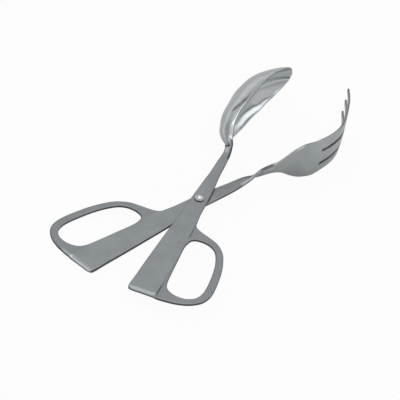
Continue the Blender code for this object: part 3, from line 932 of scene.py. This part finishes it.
def steel(name, handle_colour, handle_roughness, head_colour, head_roughness, painted_sheen=False):
    """Brushed along the arm at the handle, polished towards the head, and dull on the sheared
    edge, where the wall value also brings painted shade and painted highlights. One with painted
    sheen has a painted highlight along a stretch of that edge, and a painted sheen towards the
    tines."""
    material = bpy.data.materials.new(name)
    shader = Shader(material)
    blank = shader.node("ShaderNodeUVMap", {"uv_map": "blank"})["UV"]
    blank_parts = shader.node("ShaderNodeSeparateXYZ", None, {0: blank})
    along = blank_parts["Y"]
    wall = shader.node("ShaderNodeAttribute", {"attribute_name": "wall"})["Fac"]
    # painted highlight along a stretch of the fork's left edge, broken by short gaps
    if painted_sheen:
        low, high = GLINT_REACH
        stretch = along.over(low, low + GLINT_FADE) * along.over(high, high - GLINT_FADE)
        stretch = stretch * blank_parts["X"].over(*GLINT_SIDE)
        wave = ((along - GLINT_GAP) * (math.pi / GLINT_GAP_SPACING)).math("SINE")
        glint = wall.over(*GLINT_WALL) * stretch * (wave * wave).over(*GLINT_GAP_RANGE)
        wall = wall * (1 - stretch)
    polish = along.over(*POLISH_REACH)
    dull = 1 - polish
    stretched = shader.node("ShaderNodeMapping", None, {0: blank, "Scale": BRUSHING_STRETCH})
    brushing = shader.noise(stretched["Vector"], *BRUSHING)
    clouds = shader.noise(blank, *CLOUDS)
    grain = shader.noise(blank, *GRAIN)
    rough = head_roughness + dull * (handle_roughness - head_roughness)
    rough = rough + (brushing - 0.5) * BRUSHED_ROUGHNESS * dull
    rough = rough + (clouds - 0.5) * CLOUDED_ROUGHNESS
    rough = rough + wall.math("MAXIMUM", 0) * WALL_ROUGHNESS
    # the wall value darkens: the sheared edge, partly cut steel and partly painted shade, and
    # painted shades; below 0 it lightens as painted highlight
    darkness = (wall * WALL_DARKNESS).math("MINIMUM", DARKEST)
    grainy = (grain - 0.5) * GRAIN_TONE * (POLISHED_GRAIN + dull * (1 - POLISHED_GRAIN))
    light = (clouds.over(*CLOUD_RANGE) * CLOUD_TONE + LEAST_TONE + grainy) * (1 - darkness)
    # painted sheen, lighter towards the tines
    if painted_sheen:
        light = light + along.over(*TINE_REACH) * TINE_SHEEN
    # handle to head colour: the handle's darker colour is partly painted shade
    tone = shader.mixed(polish, handle_colour, head_colour)
    tone = shader.node("ShaderNodeVectorMath", {"operation": "SCALE"},
                       {0: tone, "Scale": light})["Vector"]
    # the painted highlight on the fork's edge, in a pale colour
    if painted_sheen:
        tone = shader.mixed(glint, tone, GLINT_COLOUR)
    bump = shader.node("ShaderNodeBump", None, {"Strength": BRUSHED_BUMP, "Distance": BUMP_HEIGHT,
                                                "Height": brushing * dull})["Normal"]
    shader.metal({"Base Color": tone, "Roughness": rough, "Normal": bump})
    return material


def plain_steel(name, colour, roughness):
    """Turned or punched steel with a faint unevenness in its gloss, and painted shade where it has
    a foot."""
    material = bpy.data.materials.new(name)
    shader = Shader(material)
    place = shader.node("ShaderNodeTexCoord")["Object"]
    clouds = shader.noise(place, *TURNING, dimensions="3D")
    foot = shader.node("ShaderNodeAttribute", {"attribute_name": "foot"})["Fac"]
    tone = shader.mixed(clouds, tinted(colour, TURNED_TINT), colour)
    # painted shade at the rivet's foot
    tone = shader.mixed(foot, tone, tinted(colour, FOOT_SHADE))
    shader.metal({"Base Color": tone,
                  "Roughness": roughness + (clouds - 0.5) * TURNED_ROUGHNESS})
    return material


class NodeGroup:
    """A Geometry Nodes tree, built node by node."""

    def __init__(self, name, sizes):
        self.tree = bpy.data.node_groups.new(name, "GeometryNodeTree")
        self.sizes = sizes
        self.ids = {}
        for label in sizes:
            made = self.tree.interface.new_socket(label, in_out="INPUT",
                                                  socket_type="NodeSocketFloat")
            self.ids[label] = made.identifier
        self.tree.interface.new_socket("Geometry", in_out="OUTPUT",
                                       socket_type="NodeSocketGeometry")
        self.inputs = self.tree.nodes.new("NodeGroupInput")

    def size(self, label):
        return self.inputs.outputs[label]

    def node(self, kind, settings=None, sockets=None):
        made = self.tree.nodes.new(kind)
        for name, value in (settings or {}).items():
            setattr(made, name, value)
        for name, value in (sockets or {}).items():
            for item in value if isinstance(value, list) else [value]:
                if isinstance(item, bpy.types.NodeSocket):
                    self.tree.links.new(item, made.inputs[name])
                else:
                    made.inputs[name].default_value = item
        return made.outputs

    def math(self, operation, first, second):
        return self.node("ShaderNodeMath", {"operation": operation}, {0: first, 1: second})[0]

    def finish(self, name, geometry, material, place):
        """Realize, give the material, evaluate on a new object, and keep the plain mesh in its
        place."""
        real = self.node("GeometryNodeRealizeInstances", None, {0: geometry})[0]
        dressed = self.node("GeometryNodeSetMaterial", None, {"Geometry": real,
                                                              "Material": material})[0]
        self.node("NodeGroupOutput", None, {"Geometry": dressed})
        holder = linked(name + "_holder", bpy.data.meshes.new(name + "_holder"))
        modifier = holder.modifiers.new(self.tree.name, "NODES")
        modifier.node_group = self.tree
        for label, value in self.sizes.items():
            modifier[self.ids[label]] = value
        graph = bpy.context.evaluated_depsgraph_get()
        mesh = bpy.data.meshes.new_from_object(holder.evaluated_get(graph))
        bpy.data.objects.remove(holder)
        mesh.name = name
        mesh.transform(place)
        mesh.shade_smooth()
        mesh.set_sharp_from_angle(angle=SHARP_ANGLE)
        return linked(name, mesh)


def rivet(place, material):
    """A domed head, a shank and an upset tail, each dome a sphere flattened on its seat."""
    seat = INNER_FACE + BLADE_THICKNESS + SEAT
    tail_seat = seat + WASHER_THICKNESS + SEAT
    group = NodeGroup("domed_rivet", {
        "Head radius": RIVET_HEAD_RADIUS, "Head height": RIVET_HEAD_HEIGHT,
        "Tail radius": RIVET_TAIL_RADIUS, "Tail height": RIVET_TAIL_HEIGHT,
        "Shank radius": SHANK_RADIUS, "Head seat": seat, "Tail seat": -tail_seat})

    def dome(label, sign):
        ball = group.node("GeometryNodeMeshUVSphere", None,
                          {"Segments": DOME_SEGMENTS, "Rings": DOME_RINGS, "Radius": 1.0})["Mesh"]
        spot = group.node("GeometryNodeInputPosition")[0]
        parts = group.node("ShaderNodeSeparateXYZ", None, {0: spot})
        height = group.math("MAXIMUM", parts[2], 0.0)
        height = group.math("MULTIPLY", height, group.size(label + " height"))
        height = group.math("MULTIPLY", height, sign)
        height = group.math("ADD", height, group.size(label + " seat"))
        wide = [group.math("MULTIPLY", parts[k], group.size(label + " radius")) for k in (0, 1)]
        moved = group.node("ShaderNodeCombineXYZ", None, {0: wide[0], 1: wide[1], 2: height})[0]
        # painted shade round the head's foot, where it sits on the arm
        foot_start, foot_full = FOOT_SHARES
        foot = group.node("GeometryNodeStoreNamedAttribute", None, {
            "Geometry": ball, "Name": "foot",
            "Value": group.node("ShaderNodeMapRange", {"interpolation_type": "SMOOTHSTEP"}, {
                "Value": parts[2] if sign > 0 else 1.0,
                "From Min": foot_start, "From Max": foot_full})["Result"]})[0]
        shaped = group.node("GeometryNodeSetPosition", None, {"Geometry": foot,
                                                              "Position": moved})[0]
        if sign < 0:
            shaped = group.node("GeometryNodeFlipFaces", None, {"Mesh": shaped})[0]
        return shaped

    depth = group.math("SUBTRACT", group.size("Head seat"), group.size("Tail seat"))
    shank = group.node("GeometryNodeMeshCylinder", None,
                       {"Vertices": SHANK_SEGMENTS, "Radius": group.size("Shank radius"),
                        "Depth": depth})[0]
    total = group.math("ADD", group.size("Head seat"), group.size("Tail seat"))
    shift = group.node("ShaderNodeCombineXYZ", None, {2: group.math("MULTIPLY", total, 0.5)})[0]
    shank = group.node("GeometryNodeTransform", None, {"Geometry": shank, "Translation": shift})[0]
    joined = group.node("GeometryNodeJoinGeometry", None,
                        {0: [dome("Head", 1), dome("Tail", -1), shank]})[0]
    return group.finish("rivet", joined, material, place)


def washer(place, material):
    """A thin ring under the rivet's tail, swept round a circle."""
    hole = SHANK_RADIUS + SEAT
    group = NodeGroup("thin_washer", {"Middle radius": (WASHER_RADIUS + hole) / 2,
                                      "Width": WASHER_RADIUS - hole,
                                      "Thickness": WASHER_THICKNESS,
                                      "Corner": WASHER_CORNER})
    path = group.node("GeometryNodeCurvePrimitiveCircle", None,
                      {"Resolution": WASHER_SEGMENTS,
                       "Radius": group.size("Middle radius")})["Curve"]
    section = group.node("GeometryNodeCurvePrimitiveQuadrilateral", None,
                         {"Width": group.size("Width"), "Height": group.size("Thickness")})[0]
    section = group.node("GeometryNodeFilletCurve", {"mode": "POLY"},
                         {"Curve": section, "Radius": group.size("Corner"),
                          "Count": CORNER_POINTS})[0]
    ring = group.node("GeometryNodeCurveToMesh", None, {"Curve": path,
                                                        "Profile Curve": section})[0]
    low = INNER_FACE + BLADE_THICKNESS + SEAT + WASHER_THICKNESS / 2
    return group.finish("washer", ring, material, place @ Matrix.Translation((0, 0, -low)))


def camera(plane):
    """Looks at the arms' plane from the photograph's angle, with the rivet at its pixel."""
    turn = Matrix.Rotation(VIEW_AZIMUTH, 3, "Z")
    ahead = turn @ Vector((0, math.cos(VIEW_ELEVATION), -math.sin(VIEW_ELEVATION)))
    level = turn @ Vector((1, 0, 0))
    upright = turn @ Vector((0, math.sin(VIEW_ELEVATION), math.cos(VIEW_ELEVATION)))
    right = math.cos(VIEW_ROLL) * level + math.sin(VIEW_ROLL) * upright
    up = math.cos(VIEW_ROLL) * upright - math.sin(VIEW_ROLL) * level
    middle = IMAGE_SIZE / 2
    eye = Vector((0, 0, RIVET_HEIGHT)) - VIEW_DISTANCE * ahead
    eye -= right * (RIVET_PIXEL[0] - middle) * PIXEL
    eye += up * (RIVET_PIXEL[1] - middle) * PIXEL
    placed = Matrix((right, up, -ahead)).transposed().to_4x4()
    placed.translation = eye
    data = bpy.data.cameras.new("camera")
    data.sensor_width = SENSOR
    data.lens = SENSOR * VIEW_DISTANCE / PIXEL / IMAGE_SIZE
    data.clip_end = FAR_CLIP
    made = linked("camera", data)
    made.matrix_world = plane @ placed
    bpy.context.scene.camera = made


def top_light():
    """One soft box above the tongs."""
    data = bpy.data.lights.new("top_light", "AREA")
    data.shape = "RECTANGLE"
    data.size = data.size_y = LIGHT_SIZE
    data.energy = LIGHT_POWER
    made = linked("top_light", data)
    made.location = LIGHT_PLACE
    made.rotation_euler = Vector(LIGHT_PLACE).to_track_quat("Z", "Y").to_euler()


def floor():
    """Pale paper, nearly plain white for the camera."""
    mesh = bmesh.new()
    bmesh.ops.create_grid(mesh, x_segments=1, y_segments=1, size=FLOOR_SIZE)
    data = bpy.data.meshes.new("floor")
    mesh.to_mesh(data)
    mesh.free()
    data.transform(Matrix.Translation((0, 0, -FLOOR_GAP)))
    material = bpy.data.materials.new("floor_paper")
    shader = Shader(material)
    paper = shader.node("ShaderNodeBsdfDiffuse", None,
                        {"Color": (PAPER_GREY, PAPER_GREY, PAPER_GREY, 1)})["BSDF"]
    white = shader.node("ShaderNodeEmission", None, {"Color": (1, 1, 1, 1), "Strength": 1})[0]
    path = shader.node("ShaderNodeLightPath")
    seen = path["Is Camera Ray"] * FLOOR_WHITE + path["Is Glossy Ray"] * GLOSSY_SHARE
    shown = shader.node("ShaderNodeMixShader", None, {0: seen, 1: paper, 2: white})[0]
    shader.node("ShaderNodeOutputMaterial", None, {"Surface": shown})
    data.materials.append(material)
    made = linked("floor", data)
    made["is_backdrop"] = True


def card(way, azimuth, elevation, half_width, half_height, lean):
    """How far a direction lies inside a soft-edged card in the room, 0 to 1. Angles in degrees,
    the azimuth clockwise from +Y and the card's lean clockwise from upright."""
    turn = Matrix.Rotation(math.radians(-azimuth), 3, "Z") @ Matrix.Rotation(
        math.radians(elevation), 3, "X") @ Matrix.Rotation(math.radians(lean), 3, "Y")
    right, ahead, up = (turn.col[k][:] for k in range(3))
    mask = 1
    for direction, half in ((right, half_width), (up, half_height)):
        out = way.dot(direction).math("ABSOLUTE")
        edge = math.sin(math.radians(half))
        mask = out.over(edge * (1 + CARD_SOFTNESS), edge * (1 - CARD_SOFTNESS)) * mask
    return mask * way.dot(ahead).over(0, CARD_FRONT)


def studio():
    """White for the camera; for everything else a soft grey room with windows and dark cards."""
    world = bpy.data.worlds.new("studio")
    bpy.context.scene.world = world
    shader = Shader(world)
    way = shader.node("ShaderNodeTexCoord")["Generated"]
    rise = shader.node("ShaderNodeSeparateXYZ", None, {0: way})["Z"]
    room = shader.node("ShaderNodeValToRGB", {"stops": ROOM_GREYS}, {0: rise})["Color"]
    room = shader.node("ShaderNodeSeparateColor", None, {0: room})["Red"]
    for *place, grey in CARDS:
        mask = card(way, *place)
        room = room + mask * (grey - room)
    path = shader.node("ShaderNodeLightPath")
    seen = path["Is Camera Ray"] + path["Is Glossy Ray"] * GLOSSY_SHARE
    back = shader.node("ShaderNodeBackground", None, {"Strength": room + seen * (1 - room)})[0]
    shader.node("ShaderNodeOutputWorld", None, {"Surface": back})


hinge = frame["joints"][0]
axis = Vector(hinge["axis"])
plane = Matrix.Translation(hinge["pos_m"]) @ Vector((0, 0, 1)).rotation_difference(
    axis).to_matrix().to_4x4()
opening = Matrix.Rotation(ARM_ANGLE, 4, "Z")
turned_over = Matrix.Rotation(math.pi, 4, "Y")

camera(plane)
floor()
studio()
top_light()

spoon = Arm(SPOON_REACH, SPOON_SWAY, SPOON_BLADE_SHARES, SPOON_SHARES, SPOON_WIDTH, SPOON_DEPTH)
fork = Arm(FORK_REACH, FORK_SWAY, FORK_BLADE_SHARES, FORK_SHARES, FORK_WIDTH, FORK_DEPTH)
spoon_steel = steel("spoon_steel", *SPOON_FINISH)
fork_steel = steel("fork_steel", *FORK_FINISH, painted_sheen=True)
rivet_steel = plain_steel("rivet_steel", *RIVET_FINISH)
washer_steel = plain_steel("washer_steel", *WASHER_FINISH)

spoon_piece = arm_object("spoon_stamping", spoon, spoon_rim(spoon), plane @ opening, spoon_steel,
                         spoon_marks)
fork_piece = arm_object("fork_stamping", fork, fork_rim(fork), plane @ turned_over @ opening,
                        fork_steel, fork_marks)
rivet_piece = rivet(plane, rivet_steel)
washer_piece = washer(plane, washer_steel)
for piece, body, node, slot in (
        (spoon_piece, "spoon_side", "spoon_arm", "spoon_steel"),
        (fork_piece, "fork_side", "fork_arm", "fork_steel"),
        (rivet_piece, "fork_side", "pivot_rivet", "rivet_steel"),
        (washer_piece, "fork_side", "tail_washer", "washer_steel")):
    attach(piece, body)
    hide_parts(node)

bpy.context.scene.view_settings.view_transform = "Standard"
[[list(corner) for corner in box] for box in (cad_box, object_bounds())]
